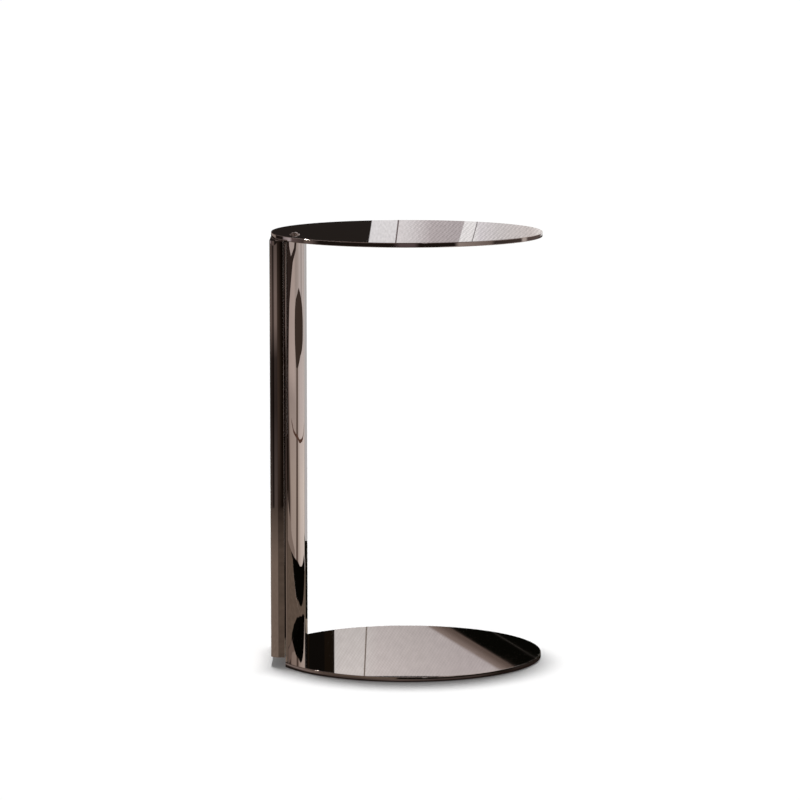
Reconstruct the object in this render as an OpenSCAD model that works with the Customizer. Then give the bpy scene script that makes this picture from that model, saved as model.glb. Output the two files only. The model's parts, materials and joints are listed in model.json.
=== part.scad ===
// Height-adjustable side table: a round top on a sliding blade, a chord-cut round base under a fixed column.
// +Z is up and the origin is on the floor under the middle of the top. The column and the blade stand at -X.

/* [Discs] */
// Diameter of the round top, and of the circle that the base is cut from
disc_d = 400; // [370:1:460]
// Thickness of the top plate
top_t = 7; // [6:0.5:10]
// Thickness of the base plate
base_t = 7; // [6:0.5:12]
// Radius of the eased rims of both plates
rim_r = 1; // [0.5:0.5:2.5]

/* [Heights] */
// Height of the top surface at its lowest setting
table_h = 636; // [610:1:720]
// How far the top rises
travel = 200; // [150:1:215]
// Clear height under the blade at the lowest setting
blade_lift = 15; // [8:1:30]

/* [Spine] */
// Thickness of the sliding outer blade
blade_t = 20.5; // [18:0.5:28]
// Radius of the blade's outer corners
blade_r = 12; // [4:0.5:14]
// Front to back depth of the fixed column
column_depth = 29; // [28:0.5:44]
// Lean of the column's sides where they leave the back, in degrees
side_lean = 20; // [14:1:24]
// Lean of the sides where the round front corners begin, in degrees
nose_lean = 34; // [30:1:40]
// Radius of the round front corners
nose_r = 22; // [16:1:26]
// Radius of the column's small corners, beside the blade
seam_r = 3; // [1:0.25:4]
// Radius of the blade's eased edges, beside the column
blade_edge_r = 0.5; // [0.5:0.25:3]
// Wall of the column and of the blade
wall = 2; // [2:0.25:3]
// Running gap between blade and column
slide_gap = 1; // [0.8:0.1:1.5]
// How far the column stays inside the ends of the base's straight cut
column_inset = 1.2; // [0.5:0.1:4]

/* [Guide] */
// Width of the rail's head
rail_head_w = 22; // [16:1:28]
// Thickness of the rail's head
rail_head_t = 5; // [4:0.5:6]
// Width of the rail's neck
rail_neck_w = 12; // [8:1:14]
// Depth of the rail's neck, from the blade to the head
rail_neck_t = 6; // [5:0.5:8]
// Width of the guide blocks
guide_w = 48; // [44:1:56]
// Depth of the guide blocks
guide_t = 16; // [14:0.5:18]
// Height of the guide blocks
guide_h = 40; // [24:1:60]
// Width of the travel stop
stop_w = 32; // [26:1:36]
// Depth of the travel stop
stop_t = 8; // [6:0.5:10]
// Height of the travel stop
stop_h = 12; // [10:1:20]
// Diameter of the wear pads
wear_d = 10; // [6:0.5:14]
// How far the wear pads stand out of the column
wear_proud = 0.6; // [0.3:0.1:0.7]

/* [Gas spring] */
// Distance from the column's side to the spring's axis
spring_inset = 30; // [28:1:36]
// Diameter of the cylinder
tube_d = 18; // [16:0.5:20]
// Wall of the cylinder
tube_wall = 1; // [0.8:0.1:1.5]
// Diameter of the piston rod
rod_d = 8; // [7:0.5:10]
// Diameter of the release pin
pin_d = 3; // [2:0.25:4]
// Height of the piston
piston_h = 12; // [10:1:16]
// Height of the rod's gland
gland_h = 12; // [8:1:16]
// Thickness of the bracket that carries the cylinder
bracket_t = 8; // [6:0.5:12]
// Outer diameter of the collar that holds the rod's end
seat_d = 16; // [15:0.5:18]
// Height of that collar
seat_h = 16; // [14:1:20]

/* [Button] */
// Diameter of the button
button_d = 9; // [8:0.25:11]
// How far the button is pressed
button_travel = 2; // [1:0.25:2.5]
// Diameter of the collar's flange
flange_d = 15; // [14:0.25:18]
// Thickness of the collar's flange
flange_t = 1.2; // [0.8:0.1:2]
// How far the button stands out of its collar
button_proud = 2.4; // [2:0.1:4]
// Wire of the button's spring
coil_wire = 0.6; // [0.4:0.05:0.8]
// Diameter of the button's stem
stem_d = 4; // [3:0.25:4.5]

/* [Feet and screws] */
// Diameter of the felt pads
pad_d = 20; // [14:1:26]
// Thickness of the felt pads
pad_t = 2; // [1.5:0.25:4]
// How deep the pads sit in the base
pad_recess = 1; // [0.5:0.25:1.25]
// Diameter of the base screws
base_screw_d = 8; // [6:0.5:8]
// Head diameter of the base screws
base_head_d = 15; // [12:0.5:16]
// Diameter of the small screws
screw_d = 4; // [3:0.25:4.5]
// Head diameter of the small screws
screw_head_d = 7.6; // [6:0.2:8]
// Thickness of the foot plug in the column
foot_t = 14; // [12:1:24]
// Thickness of the cap in the column's top
cap_t = 10; // [8:1:14]
// Height of the plug in the blade's top
plug_h = 30; // [24:1:50]
// Thickness of the plug's flange, which closes the blade's top end
plug_flange = 2; // [1.5:0.25:4]
// Height of the cap in the blade's lower end
end_cap_h = 12; // [8:1:20]

/* [Clearances] */
// Gap round a piece that is pushed into another and fixed there
fit = 0.1; // [0.05:0.01:0.2]
// Gap round a round piece that runs in a bore
run = 0.05; // [0.03:0.01:0.08]
// Gap round the rail and other flat pieces that slide
slide = 0.3; // [0.25:0.05:0.4]
// Gap between column and top plate at the lowest setting
rest_gap = 1.5; // [1.2:0.1:2]

/* [Hidden] */
$fn = 64;

// Colours, as the object shows them or would
nickel = [0.44, 0.39, 0.36];
steel = [0.62, 0.62, 0.63];
dark_steel = [0.30, 0.30, 0.31];
black_plastic = [0.08, 0.08, 0.08];
pale_plastic = [0.85, 0.84, 0.80];
felt_grey = [0.25, 0.24, 0.23];

// Discs
disc_r = disc_d / 2;
base_z = pad_t - pad_recess;
base_top = base_z + base_t;
top_under = table_h - top_t;

// Spine, from the outside in
blade_x = -disc_r;
blade_inner = blade_x + blade_t;
column_x = blade_inner + slide_gap;
column_mid = column_x + column_depth / 2;
spine_half = sqrt(disc_r * disc_r - column_x * column_x) - column_inset;
column_top = top_under - rest_gap;
side_steps = 14;
nose_steps = 20;
side_r = (column_depth - seam_r * (1 + sin(side_lean)) - nose_r * (1 - sin(nose_lean)))
    / (sin(nose_lean) - sin(side_lean));
side_centre = [seam_r + (seam_r - side_r) * sin(side_lean),
               seam_r - spine_half - (seam_r - side_r) * cos(side_lean)];
nose_centre = [side_centre[0] + (side_r - nose_r) * sin(nose_lean),
               side_centre[1] - (side_r - nose_r) * cos(nose_lean)];

// Gas spring and button share one upright axis
spring_y = -(spine_half - spring_inset);
tube_gap = 13;
tube_floor = 4;
end_room = 10;
tube_top = top_under - seat_h - tube_gap;
tube_len = tube_floor + 2 * end_room + piston_h + travel + gland_h;
tube_z = tube_top - tube_len;
piston_z = tube_z + tube_floor + end_room;
piston_r = tube_d / 2 - tube_wall - run;
ring_wire = 1.6;
stud_d = 8;
nut_h = 6.5;
nut_flats = 13;
seat_floor = seat_h - 6.2;
rod_top = top_under - seat_h + seat_floor - 0.3;
pin_len = 20;
pin_bore = 20;

// Guide
slot_cover = 4 * wall;
slot_z = blade_lift + travel + slot_cover;
rail_z = slot_z + rail_head_t;
rail_top = top_under - 2 * top_t;
rail_x = blade_inner + rail_neck_t;
rail_face = rail_x + rail_head_t;
stop_z = rail_z + rail_neck_t;
stop_gap = 0.5;
lower_guide_z = stop_z + stop_h + travel + stop_gap;
upper_guide_z = column_top - cap_t - 4 - guide_h;
guide_screw_y = (rail_head_w / 2 + slide + guide_w / 2) / 2;
guide_screw_len = 3 * screw_d;
rail_screws_n = 5;
first_rail_screw = stop_z + stop_h + guide_h / 2;
last_rail_screw = top_under - plug_h - 6 * screw_d;
rail_screw_z = [for (i = [0 : rail_screws_n - 1])
    first_rail_screw + i * (last_rail_screw - first_rail_screw) / (rail_screws_n - 1)];
backing_t = screw_d;

// Fasteners
side_y = spine_half - 18;
plug_screw_y = [-0.8 * spine_half, -0.42 * spine_half, 0.42 * spine_half, 0.8 * spine_half];
foot_screw_y = [-0.7 * spine_half, -0.28 * spine_half, 0.28 * spine_half, 0.7 * spine_half];
base_screw_len = base_t + foot_t - 3;
pad_angles = [-150, -100, -50, 0, 50, 100, 150];
pad_ring_r = disc_r - 25;

// Cap
bumper_d = 8;
bumper_depth = 1.8;
bumper_y = 34;
bumper_x = column_x + 0.65 * column_depth;

// Button, from its lowest part up
button_bore = button_d + 2 * run;
sleeve_d = button_bore + 2.9;
ledge_t = 1.2;
button_foot = table_h + flange_t - 2.7;
button_top = table_h + flange_t + button_proud;
dome_h = 1.2;
stem_foot = top_under - 2.4;
clip_t = 0.8;
clip_d = stem_d + 3.4;
coil_turns = 3.5;
coil_d = (button_d + stem_d) / 2;
coil_z = top_under + ledge_t;

// A point of an arc whose normal leans by an angle from the side towards the front
function arc_point(centre, r, a) = [centre[0] + r * sin(a), centre[1] - r * cos(a)];

// Half outline of the column's section, drawn inset by a wall: a broad leaning side, then a round front corner
function corner_points(inset) = concat(
    [for (i = [0 : side_steps])
        arc_point(side_centre, side_r - inset, side_lean - 8 + (nose_lean - side_lean + 8) * i / side_steps)],
    [for (i = [1 : nose_steps])
        arc_point(nose_centre, nose_r - inset, nose_lean + (90 - nose_lean) * i / nose_steps)]);

// The column's section, with its flat back on x = 0
module column_section(inset) {
    low_side = corner_points(inset);
    high_side = [for (i = [len(low_side) - 1 : -1 : 0]) [low_side[i][0], -low_side[i][1]]];
    intersection() {
        polygon(concat(low_side, high_side));
        rounded_strip(inset, column_depth + 5, spine_half, inner_radius(seam_r, inset), 0);
    }
}

// A strip from x = x0 to x1 and as far as half each way, with radius ra at x0 and rb at x1
module rounded_strip(x0, x1, half, ra, rb) {
    intersection() {
        rounded_bar(x0, x1 + 2 * ra + 1, half, ra);
        rounded_bar(x0 - 2 * rb - 1, x1, half, rb);
    }
}

// A bar from x = x0 to x1 and as far as half each way, with four corners of radius r, or sharp ones where r is 0
module rounded_bar(x0, x1, half, r) {
    if (r > 0) {
        translate([x0 + r, -half])
            square([x1 - x0 - 2 * r, 2 * half]);
        translate([x0, r - half])
            square([x1 - x0, 2 * (half - r)]);
        for (x = [x0 + r, x1 - r])
            for (s = [-1, 1])
                translate([x, s * (half - r)]) circle(r = r);
    } else {
        translate([x0, -half])
            square([x1 - x0, 2 * half]);
    }
}

// The radius that is left of a corner at a depth inside it
function inner_radius(r, inset) = r - inset > 0.3 ? r - inset : 0;

// The blade's section, with its outer face on x = 0
module blade_section(inset) {
    rounded_strip(inset, blade_t - inset, spine_half - inset,
                  inner_radius(blade_r, inset), inner_radius(blade_edge_r, inset));
}

// A piece of the column's inside, between two heights
module column_insert(z0, z1) {
    translate([column_x, 0, z0])
        linear_extrude(z1 - z0) column_section(wall + fit);
}

// A round plate with eased rims
module round_plate(z, t) {
    translate([0, 0, z])
        rotate_extrude() {
            square([disc_r - rim_r, t]);
            translate([0, rim_r]) square([disc_r, t - 2 * rim_r]);
            for (h = [rim_r, t - rim_r])
                translate([disc_r - rim_r, h]) circle(r = rim_r);
        }
}

// A countersunk shape with its flat head at z = 0, pointing down, grown all round by grow
module screw_form(d, head_d, length, grow) {
    rotate_extrude()
        polygon([[0, 0], [head_d / 2 + grow, 0], [d / 2 + grow, (d - head_d) / 2],
                 [d / 2 + grow, -length - grow], [0, -length - grow]]);
}

// A countersunk screw with a hexagon socket
module flush_screw(d, head_d, length) {
    difference() {
        screw_form(d, head_d, length, 0);
        translate([0, 0, -0.3 * d]) cylinder(d = 0.6 * d, h = d, $fn = 6);
    }
}

// Puts a screw's head on a face that looks towards -X, +X or the floor
module facing_back(x, y, z) {
    translate([x, y, z]) rotate([0, -90, 0]) children();
}

module facing_front(x, y, z) {
    translate([x, y, z]) rotate([0, 90, 0]) children();
}

module facing_floor(x, y, z) {
    translate([x, y, z]) rotate([180, 0, 0]) children();
}

// Places of the screws, each drawn by whatever child is given
module at_base_screws() {
    for (y = foot_screw_y) facing_floor(column_mid, y, base_z) children();
}

module at_cap_screws() {
    for (s = [-1, 1]) facing_back(column_x, s * side_y, column_top - cap_t / 2) children();
}

module at_guide_screws(z) {
    for (s = [-1, 1], h = [0.25, 0.75])
        facing_back(column_x, s * guide_screw_y, z + h * guide_h) children();
}

module at_bracket_screws() {
    for (s = [-1, 1]) facing_back(column_x, s * side_y, tube_z - bracket_t / 2) children();
}

module at_plug_screws() {
    for (y = plug_screw_y) facing_front(blade_inner, y, top_under - plug_h / 2) children();
}

module at_rail_screws() {
    for (z = rail_screw_z) facing_front(rail_face, 0, z) children();
}

module at_stop_screw() {
    facing_front(rail_face + stop_t, 0, stop_z + stop_h / 2) children();
}

module at_spring(z) {
    translate([column_mid, spring_y, z]) children();
}

module at_wear_pads() {
    for (s = [-1, 1], z = [slot_z + 30, column_top - 40])
        translate([column_x, s * side_y, z]) rotate([0, 90, 0]) children();
}

module at_bumpers() {
    for (s = [-1, 1]) translate([bumper_x, s * bumper_y, column_top]) children();
}

module small_screw(length) {
    flush_screw(screw_d, screw_head_d, length);
}

module small_hole(length) {
    screw_form(screw_d, screw_head_d, length, fit);
}

// Fixed to the floor side

module base_plate() {
    color(nickel)
        difference() {
            round_plate(base_z, base_t);
            translate([-2 * disc_r, -2 * disc_r, 0])
                cube([2 * disc_r + column_x, 4 * disc_r, 2 * base_top]);
            at_base_screws() screw_form(base_screw_d, base_head_d, base_screw_len, fit);
            for (a = pad_angles)
                rotate([0, 0, a]) translate([pad_ring_r, 0, base_z - 1])
                    cylinder(d = pad_d + 2 * fit, h = 1 + pad_recess);
        }
}

module base_pads() {
    color(felt_grey)
        for (a = pad_angles)
            rotate([0, 0, a]) translate([pad_ring_r, 0, 0]) cylinder(d = pad_d, h = pad_t);
}

module column_shell() {
    color(nickel)
        difference() {
            translate([column_x, 0, base_top])
                linear_extrude(column_top - base_top)
                    difference() {
                        column_section(0);
                        column_section(wall);
                    }
            translate([column_x - 1, -rail_neck_w / 2 - 1, slot_z])
                cube([wall + 2, rail_neck_w + 2, column_top]);
            at_cap_screws() small_hole(guide_screw_len);
            at_guide_screws(upper_guide_z) small_hole(guide_screw_len);
            at_guide_screws(lower_guide_z) small_hole(guide_screw_len);
            at_bracket_screws() small_hole(guide_screw_len);
            at_wear_pads() translate([0, 0, -1]) cylinder(d = wear_d + 2 * fit, h = wall + 2);
        }
}

module column_foot() {
    color(dark_steel)
        difference() {
            column_insert(base_top, base_top + foot_t);
            at_base_screws() screw_form(base_screw_d, base_head_d, base_screw_len, fit);
        }
}

module base_screws() {
    color(steel) at_base_screws() flush_screw(base_screw_d, base_head_d, base_screw_len);
}

module column_cap() {
    color(dark_steel)
        difference() {
            column_insert(column_top - cap_t, column_top);
            translate([column_x, -rail_head_w / 2 - 1, column_top - cap_t - 1])
                cube([rail_face + 1 - column_x, rail_head_w + 2, cap_t + 2]);
            at_spring(column_top - cap_t - 1) cylinder(d = seat_d + 2.4, h = cap_t + 2);
            at_bumpers() translate([0, 0, -bumper_depth]) cylinder(d = bumper_d + 2 * fit, h = cap_t);
            at_cap_screws() small_hole(guide_screw_len);
        }
}

module cap_screws() {
    color(steel) at_cap_screws() small_screw(guide_screw_len);
}

// A guide block with a T slot for the rail
module guide_block(z) {
    difference() {
        translate([column_x + wall, -guide_w / 2, z]) cube([guide_t, guide_w, guide_h]);
        translate([column_x, -rail_neck_w / 2 - slide, z - 1])
            cube([rail_x + 1 - column_x, rail_neck_w + 2 * slide, guide_h + 2]);
        translate([rail_x - slide, -rail_head_w / 2 - slide, z - 1])
            cube([rail_head_t + 2 * slide, rail_head_w + 2 * slide, guide_h + 2]);
        at_guide_screws(z) small_hole(guide_screw_len);
    }
}

module upper_guide() {
    color(pale_plastic) guide_block(upper_guide_z);
}

module lower_guide() {
    color(pale_plastic) guide_block(lower_guide_z);
}

module guide_screws() {
    color(steel)
        for (z = [upper_guide_z, lower_guide_z]) at_guide_screws(z) small_screw(guide_screw_len);
}

module spring_bracket() {
    color(dark_steel)
        difference() {
            column_insert(tube_z - bracket_t, tube_z);
            translate([column_x, -stop_w / 2 - 1, tube_z - bracket_t - 1])
                cube([rail_face + stop_t + 1 - column_x, stop_w + 2, bracket_t + 2]);
            at_spring(tube_z - bracket_t - 1) cylinder(d = stud_d + 2 * fit, h = bracket_t + 2);
            at_bracket_screws() small_hole(guide_screw_len);
        }
}

module bracket_screws() {
    color(steel) at_bracket_screws() small_screw(guide_screw_len);
}

module spring_cylinder() {
    color(dark_steel)
        at_spring(tube_z) {
            difference() {
                cylinder(d = tube_d, h = tube_len);
                translate([0, 0, tube_floor]) cylinder(d = tube_d - 2 * tube_wall, h = tube_len);
            }
            translate([0, 0, -bracket_t - nut_h - 2]) cylinder(d = stud_d, h = bracket_t + nut_h + 3);
        }
}

module spring_nut() {
    color(steel)
        at_spring(tube_z - bracket_t - nut_h)
            difference() {
                cylinder(d = nut_flats / cos(30), h = nut_h, $fn = 6);
                translate([0, 0, -1]) cylinder(d = stud_d + 2 * fit, h = nut_h + 2);
            }
}

module rod_gland() {
    color(black_plastic)
        at_spring(tube_top - gland_h)
            difference() {
                cylinder(d = tube_d - 2 * tube_wall - 2 * run, h = gland_h);
                translate([0, 0, -1]) cylinder(d = rod_d + 2 * run, h = gland_h + 2);
            }
}

module wear_pads() {
    color(pale_plastic)
        at_wear_pads() translate([0, 0, -wear_proud]) cylinder(d = wear_d, h = wall + wear_proud);
}

module rest_bumpers() {
    color(black_plastic)
        at_bumpers() translate([0, 0, -bumper_depth]) cylinder(d = bumper_d, h = bumper_depth + rest_gap - slide);
}

// Moving up and down

module top_plate() {
    color(nickel)
        difference() {
            round_plate(top_under, top_t);
            at_spring(top_under - 1) cylinder(d = sleeve_d + 2 * run, h = top_t + 2);
        }
}

module outer_blade() {
    color(nickel)
        difference() {
            translate([blade_x, 0, blade_lift])
                linear_extrude(top_under - plug_flange - blade_lift)
                    difference() {
                        blade_section(0);
                        blade_section(wall);
                    }
            at_plug_screws() small_hole(guide_screw_len);
            for (z = concat(rail_screw_z, [stop_z + stop_h / 2]))
                facing_front(blade_inner + 1, 0, z)
                    translate([0, 0, -wall - 2]) cylinder(d = screw_d + 2 * fit, h = wall + 2);
        }
}

module blade_plug() {
    color(nickel)
        difference() {
            union() {
                translate([blade_x, 0, top_under - plug_h])
                    linear_extrude(plug_h) blade_section(wall + fit);
                translate([blade_x, 0, top_under - plug_flange])
                    linear_extrude(plug_flange) blade_section(0);
            }
            at_plug_screws() small_hole(guide_screw_len);
        }
}

module plug_screws() {
    color(steel) at_plug_screws() small_screw(guide_screw_len);
}

module blade_end_cap() {
    color(black_plastic)
        translate([blade_x, 0, blade_lift]) linear_extrude(end_cap_h) blade_section(wall + fit);
}

module slide_rail() {
    color(steel)
        difference() {
            union() {
                translate([blade_inner, -rail_neck_w / 2, rail_z])
                    cube([rail_neck_t + rail_head_t, rail_neck_w, rail_top - rail_z]);
                translate([rail_x, -rail_head_w / 2, rail_z])
                    cube([rail_head_t, rail_head_w, rail_top - rail_z]);
            }
            at_rail_screws() small_hole(rail_neck_t + rail_head_t + wall + backing_t - 1);
            facing_front(rail_face + 1, 0, stop_z + stop_h / 2)
                translate([0, 0, -rail_neck_t - rail_head_t - 2])
                    cylinder(d = screw_d + 2 * fit, h = rail_neck_t + rail_head_t + 3);
        }
}

module backing_bar() {
    color(dark_steel)
        difference() {
            translate([blade_inner - wall - backing_t, -rail_head_w / 2, rail_z])
                cube([backing_t, rail_head_w, top_under - plug_h - 4 - rail_z]);
            for (z = concat(rail_screw_z, [stop_z + stop_h / 2]))
                facing_front(blade_inner - wall + 1, 0, z)
                    translate([0, 0, -backing_t - 2]) cylinder(d = screw_d + 2 * fit, h = backing_t + 2);
        }
}

module rail_screws() {
    color(dark_steel) at_rail_screws() small_screw(rail_neck_t + rail_head_t + wall + backing_t - 1);
}

module travel_stop() {
    color(black_plastic)
        difference() {
            translate([rail_face, -stop_w / 2, stop_z]) cube([stop_t, stop_w, stop_h]);
            at_stop_screw() small_hole(stop_t + 2);
        }
}

module stop_screw() {
    color(dark_steel)
        at_stop_screw() small_screw(stop_t + rail_neck_t + rail_head_t + wall + backing_t - 1);
}

module rod_seat() {
    color(dark_steel)
        at_spring(top_under - seat_h)
            difference() {
                cylinder(d = seat_d, h = seat_h);
                translate([0, 0, -1]) cylinder(d = rod_d + 2 * run, h = seat_h);
                translate([0, 0, seat_floor]) cylinder(d = seat_d - 6, h = seat_h);
            }
}

module piston_rod() {
    color(steel)
        at_spring(piston_z - 2)
            difference() {
                cylinder(d = rod_d, h = rod_top - piston_z + 2);
                translate([0, 0, rod_top - piston_z + 2 - pin_bore])
                    cylinder(d = pin_d + 2 * run, h = pin_bore + 1);
            }
}

module piston() {
    color(dark_steel)
        at_spring(piston_z)
            rotate_extrude()
                difference() {
                    translate([rod_d / 2 + run, 0]) square([piston_r - rod_d / 2 - run, piston_h]);
                    translate([piston_r - ring_wire - 2 * fit, piston_h / 2 - ring_wire / 2 - fit])
                        square([ring_wire + 1, ring_wire + 2 * fit]);
                }
}

module piston_ring() {
    color(black_plastic)
        at_spring(piston_z + piston_h / 2)
            rotate_extrude() translate([piston_r - ring_wire / 2 - 0.5 * fit, 0]) circle(d = ring_wire);
}

module button_collar() {
    color(nickel)
        at_spring(top_under)
            difference() {
                union() {
                    cylinder(d = sleeve_d, h = top_t + flange_t);
                    translate([0, 0, top_t]) cylinder(d = flange_d, h = flange_t);
                }
                translate([0, 0, ledge_t]) cylinder(d = button_bore, h = top_t + flange_t);
                translate([0, 0, -1]) cylinder(d = stem_d + 2 * run, h = top_t);
            }
}

// One unbroken coil, from the collar's ledge to the button's foot
module button_spring() {
    sides = 6;
    rings = 16;
    steps = coil_turns * rings;
    rise = button_foot - coil_z - coil_wire - 0.1;
    points = [for (i = [0 : steps], k = [0 : sides - 1])
        let (a = 360 * i / rings,
             b = 360 * k / sides,
             r = coil_d / 2 + coil_wire / 2 * cos(b))
        [r * cos(a), r * sin(a), coil_wire / 2 + 0.05 + rise * i / steps + coil_wire / 2 * sin(b)]];
    skin = [for (i = [0 : steps - 1], k = [0 : sides - 1])
        let (p = i * sides + k,
             q = i * sides + (k + 1) % sides)
        [p, p + sides, q + sides, q]];
    first_end = [for (k = [0 : sides - 1]) k];
    last_end = [for (k = [sides - 1 : -1 : 0]) steps * sides + k];
    color(steel) at_spring(coil_z) polyhedron(points, concat(skin, [first_end], [last_end]));
}

// Pressed by the user

module release_button() {
    dome_r = (button_d * button_d / 4 + dome_h * dome_h) / (2 * dome_h);
    color(nickel) {
        at_spring(button_foot)
            intersection() {
                cylinder(d = button_d, h = button_top - button_foot);
                translate([0, 0, button_top - button_foot - dome_r]) sphere(r = dome_r);
            }
        at_spring(stem_foot) cylinder(d = stem_d, h = button_foot - stem_foot + 0.5);
    }
}

module button_clip() {
    color(dark_steel)
        at_spring(top_under - slide - clip_t)
            difference() {
                cylinder(d = clip_d, h = clip_t);
                translate([0, 0, -1]) cylinder(d = stem_d + 2 * run, h = clip_t + 2);
            }
}

module release_pin() {
    color(steel) at_spring(stem_foot - pin_len) cylinder(d = pin_d, h = pin_len);
}

base_plate();
base_pads();
column_shell();
column_foot();
base_screws();
column_cap();
cap_screws();
upper_guide();
lower_guide();
guide_screws();
spring_bracket();
bracket_screws();
spring_cylinder();
spring_nut();
rod_gland();
wear_pads();
rest_bumpers();
top_plate();
outer_blade();
blade_plug();
plug_screws();
blade_end_cap();
slide_rail();
backing_bar();
rail_screws();
travel_stop();
stop_screw();
rod_seat();
piston_rod();
piston();
piston_ring();
button_collar();
button_spring();
release_button();
button_clip();
release_pin();
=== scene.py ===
"""Looks of the height-adjustable side table: mirror-polished dark nickel discs, column and blade, and the slide
inside. The mirrors see a small studio of painted cards that stands round the table."""
import json
import math

import bmesh
import bpy
from mathutils import Matrix, Vector

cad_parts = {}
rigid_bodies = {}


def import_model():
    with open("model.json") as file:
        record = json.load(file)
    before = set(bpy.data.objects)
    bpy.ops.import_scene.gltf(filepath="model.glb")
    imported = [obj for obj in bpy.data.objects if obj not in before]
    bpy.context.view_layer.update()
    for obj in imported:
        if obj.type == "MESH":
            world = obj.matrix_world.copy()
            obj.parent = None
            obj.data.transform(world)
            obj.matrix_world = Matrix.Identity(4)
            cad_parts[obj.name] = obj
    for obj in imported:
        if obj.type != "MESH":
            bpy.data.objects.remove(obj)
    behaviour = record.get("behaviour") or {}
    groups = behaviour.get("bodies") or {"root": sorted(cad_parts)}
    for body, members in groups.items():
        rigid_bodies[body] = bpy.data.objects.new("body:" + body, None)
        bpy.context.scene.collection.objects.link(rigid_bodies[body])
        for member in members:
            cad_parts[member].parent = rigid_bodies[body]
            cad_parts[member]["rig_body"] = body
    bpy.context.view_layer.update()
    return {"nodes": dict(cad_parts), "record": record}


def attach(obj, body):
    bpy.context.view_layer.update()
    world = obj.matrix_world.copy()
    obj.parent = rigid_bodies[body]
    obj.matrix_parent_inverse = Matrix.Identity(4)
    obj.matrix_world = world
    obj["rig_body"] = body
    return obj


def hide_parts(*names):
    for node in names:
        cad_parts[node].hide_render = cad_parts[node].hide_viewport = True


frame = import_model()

# ---------------------------------------------------------------- sizes, in metres
MM = 0.001
FIT = 0.1 * MM
SIDES = (-1, 1)

DISC_R, RIM_R = 200 * MM, 1 * MM
BASE_Z, BASE_TOP = 1 * MM, 8 * MM
TOP_UNDER, TOP_H = 629 * MM, 636 * MM

BLADE_X, BLADE_IN = -200 * MM, -179.5 * MM
BLADE_R, EDGE_R, SEAM_R, WALL = 12 * MM, 0.5 * MM, 3 * MM, 2 * MM
BLADE_Z, PLUG_Z, PLUG_H, END_CAP_H = 15 * MM, 627 * MM, 30 * MM, 12 * MM

COLUMN_X, COLUMN_DEPTH, COLUMN_TOP = -178.5 * MM, 29 * MM, 627.5 * MM
COLUMN_MID = COLUMN_X + COLUMN_DEPTH / 2
SIDE_LEAN, NOSE_LEAN = math.radians(20), math.radians(34)
NOSE_R = 22 * MM
SIDE_R = ((COLUMN_DEPTH - SEAM_R * (1 + math.sin(SIDE_LEAN)) - NOSE_R * (1 - math.sin(NOSE_LEAN)))
          / (math.sin(NOSE_LEAN) - math.sin(SIDE_LEAN)))
SPINE_HALF = math.sqrt(DISC_R ** 2 - COLUMN_X ** 2) - 1.2 * MM
SIDE_Y = SPINE_HALF - 18 * MM
SLOT_Z, SLOT_HALF = 223 * MM, 7 * MM

BUTTON_PLACE = (COLUMN_MID, -(SPINE_HALF - 30 * MM), 0)
BUTTON_R, STEM_R, BUTTON_FOOT, BUTTON_TOP, STEM_FOOT = 4.5 * MM, 2 * MM, 634.5 * MM, 639.6 * MM, 626.6 * MM
DOME_H, BUTTON_EASE = 1.2 * MM, 0.3 * MM
DOME_R = (BUTTON_R ** 2 + DOME_H ** 2) / (2 * DOME_H)
SLEEVE_R, FLANGE_R, FLANGE_T, BORE_R, LEDGE_T, LEDGE_R = 6 * MM, 7.5 * MM, 1.2 * MM, 4.55 * MM, 1.2 * MM, 2.05 * MM
COLLAR_HOLE_R = SLEEVE_R + 0.05 * MM

GLIDE_R, GLIDE_T, GLIDE_RING = 10 * MM, 2 * MM, 175 * MM
PAD_R, PAD_RISE = 5 * MM, 0.6 * MM
BUMPER_R, BUMPER_T, BUMPER_SUNK, BUMPER_Y = 4 * MM, 3 * MM, 1.8 * MM, 34 * MM
SMALL_SCREW = {"Shank": 4 * MM, "Head": 7.6 * MM, "Length": 12 * MM}
LARGE_SCREW = {"Shank": 8 * MM, "Head": 15 * MM, "Length": 18 * MM}
RAIL_HOLE_R = 2.1 * MM

# Places, written once for the holes and for what sits in them
GLIDES = [(GLIDE_RING * math.cos(math.radians(a)), GLIDE_RING * math.sin(math.radians(a)), 0)
          for a in (-150, -100, -50, 0, 50, 100, 150)]
FOOT_SCREWS = [(COLUMN_MID, share * SPINE_HALF, BASE_Z) for share in (-0.7, -0.28, 0.28, 0.7)]
PLUG_SCREWS = [(BLADE_IN, share * SPINE_HALF, 614 * MM) for share in (-0.8, -0.42, 0.42, 0.8)]
CAP_SCREWS = [(COLUMN_X, side * SIDE_Y, COLUMN_TOP - 5 * MM) for side in SIDES]
BRACKET_SCREWS = [(COLUMN_X, side * SIDE_Y, 348 * MM) for side in SIDES]
GUIDE_SCREWS = [(COLUMN_X, side * 17.65 * MM, (z + rise) * MM)
                for side in SIDES for z in (446.5, 573.5) for rise in (10, 30)]
WEAR_PADS = [(side * SIDE_Y, z) for side in SIDES for z in (SLOT_Z + 30 * MM, COLUMN_TOP - 40 * MM)]
RAIL_HOLES = [240 * MM] + [(266 + i * 77.25) * MM for i in range(5)]

# A lathe's or a tree's own z axis, turned to face out of the spine's back or front, or down to the floor
FACING = {
    "back": Matrix.Rotation(math.radians(-90), 4, "Y"),
    "front": Matrix.Rotation(math.radians(90), 4, "Y"),
    "floor": Matrix.Rotation(math.radians(180), 4, "X"),
}


# ---------------------------------------------------------------- mesh helpers

def new_object(name, mesh):
    piece = bpy.data.objects.new(name, mesh)
    bpy.context.scene.collection.objects.link(piece)
    return piece


def mesh_object(name, verts, faces):
    mesh = bpy.data.meshes.new(name)
    mesh.from_pydata(verts, [], faces)
    mesh.validate()
    return new_object(name, mesh)


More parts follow.
